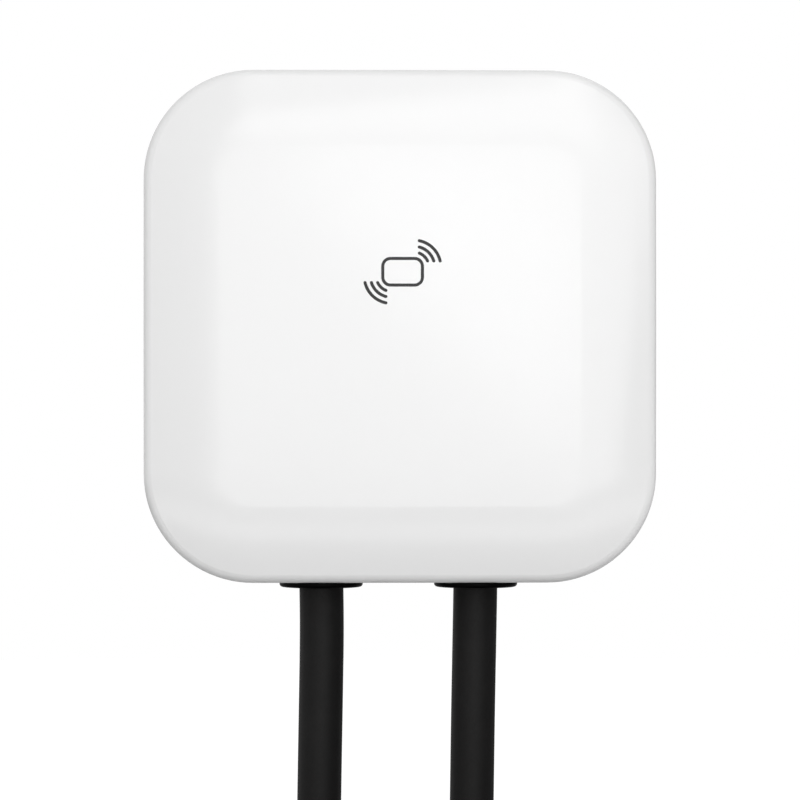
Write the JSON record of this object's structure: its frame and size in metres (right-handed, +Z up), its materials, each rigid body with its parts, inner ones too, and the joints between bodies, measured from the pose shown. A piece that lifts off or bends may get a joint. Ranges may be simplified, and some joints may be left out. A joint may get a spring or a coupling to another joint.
{
  "type": "ev wallbox",
  "caption": "Wall-hung charging box: rounded square housing with a domed front, card pictogram, round collars below, a supply lead and a charging lead with a car connector.",
  "frame": {"origin": "middle of the wall bracket's screw pattern, on the wall", "axes": "+Y into the wall, +Z up, +X to the right as seen from the front"},
  "size_m": [0.5308, 0.2709, 0.3821],
  "materials": {
    "cover_white": "white moulded plastic with a soft gloss",
    "symbol_print": "dark grey print",
    "box_white": "fine-grained white plastic",
    "seal_foam": "foamed rubber",
    "zinc_steel": "zinc plated",
    "collar_black": "smooth black plastic",
    "sleeve_rubber": "soft rubber",
    "lead_rubber": "matte black cable jacket",
    "tie_fabric": "woven hook and loop band",
    "core_insulation": "insulated copper cores",
    "board_green": "coated glass fibre board",
    "antenna_copper": "copper track",
    "ribbon_grey": "flat ribbon",
    "terminal_grey": "moulded terminal block",
    "relay_black": "sealed relay case",
    "transformer_yellow": "wound transformer",
    "capacitor_metal": "aluminium can",
    "fuse_ceramic": "ceramic body with metal caps",
    "arrester_blue": "dipped disc",
    "connector_black": "grained black plastic",
    "insert_grey": "smooth dark plastic",
    "contact_silver": "silver plated contacts"
  },
  "bodies": {
    "root": {"front_cover": "cover_white", "card_symbol": "symbol_print", "back_box": "box_white", "cover_seal": "seal_foam", "wall_bracket": "zinc_steel", "cover_screws": "zinc_steel", "lock_screw": "zinc_steel", "clamp_screws": "zinc_steel", "board_screws": "zinc_steel", "board_standoffs": "zinc_steel", "terminal_screws": "zinc_steel", "reader_screws": "zinc_steel", "supply_gland_collar": "collar_black", "charging_gland_collar": "collar_black", "supply_gland_body": "collar_black", "charging_gland_body": "collar_black", "supply_strain_clamp": "collar_black", "charging_strain_clamp": "collar_black", "supply_gland_sleeve": "sleeve_rubber", "charging_gland_sleeve": "sleeve_rubber", "connector_boot": "sleeve_rubber", "supply_lead": "lead_rubber", "supply_coil": "lead_rubber", "supply_lead_tail": "lead_rubber", "charging_lead": "lead_rubber", "charging_coil": "lead_rubber", "charging_lead_tail": "lead_rubber", "supply_coil_tie": "tie_fabric", "charging_coil_tie": "tie_fabric", "supply_cores": "core_insulation", "charging_cores": "core_insulation", "supply_bare_cores": "core_insulation", "power_board": "board_green", "control_board": "board_green", "reader_board": "board_green", "reader_antenna": "antenna_copper", "reader_ribbon": "ribbon_grey", "supply_terminal": "terminal_grey", "charging_terminal": "terminal_grey", "pilot_terminal": "terminal_grey", "power_relay_1": "relay_black", "power_relay_2": "relay_black", "power_relay_3": "relay_black", "power_relay_4": "relay_black", "board_connector": "relay_black", "residual_current_sensor": "relay_black", "transformer": "transformer_yellow", "filter_capacitor_1": "capacitor_metal", "filter_capacitor_2": "capacitor_metal", "fuse": "fuse_ceramic", "surge_arrester_1": "arrester_blue", "surge_arrester_2": "arrester_blue", "surge_arrester_3": "arrester_blue", "connector_shell_left": "connector_black", "connector_shell_right": "connector_black", "connector_insert": "insert_grey", "connector_contacts": "contact_silver"}
  },
  "joints": []
}
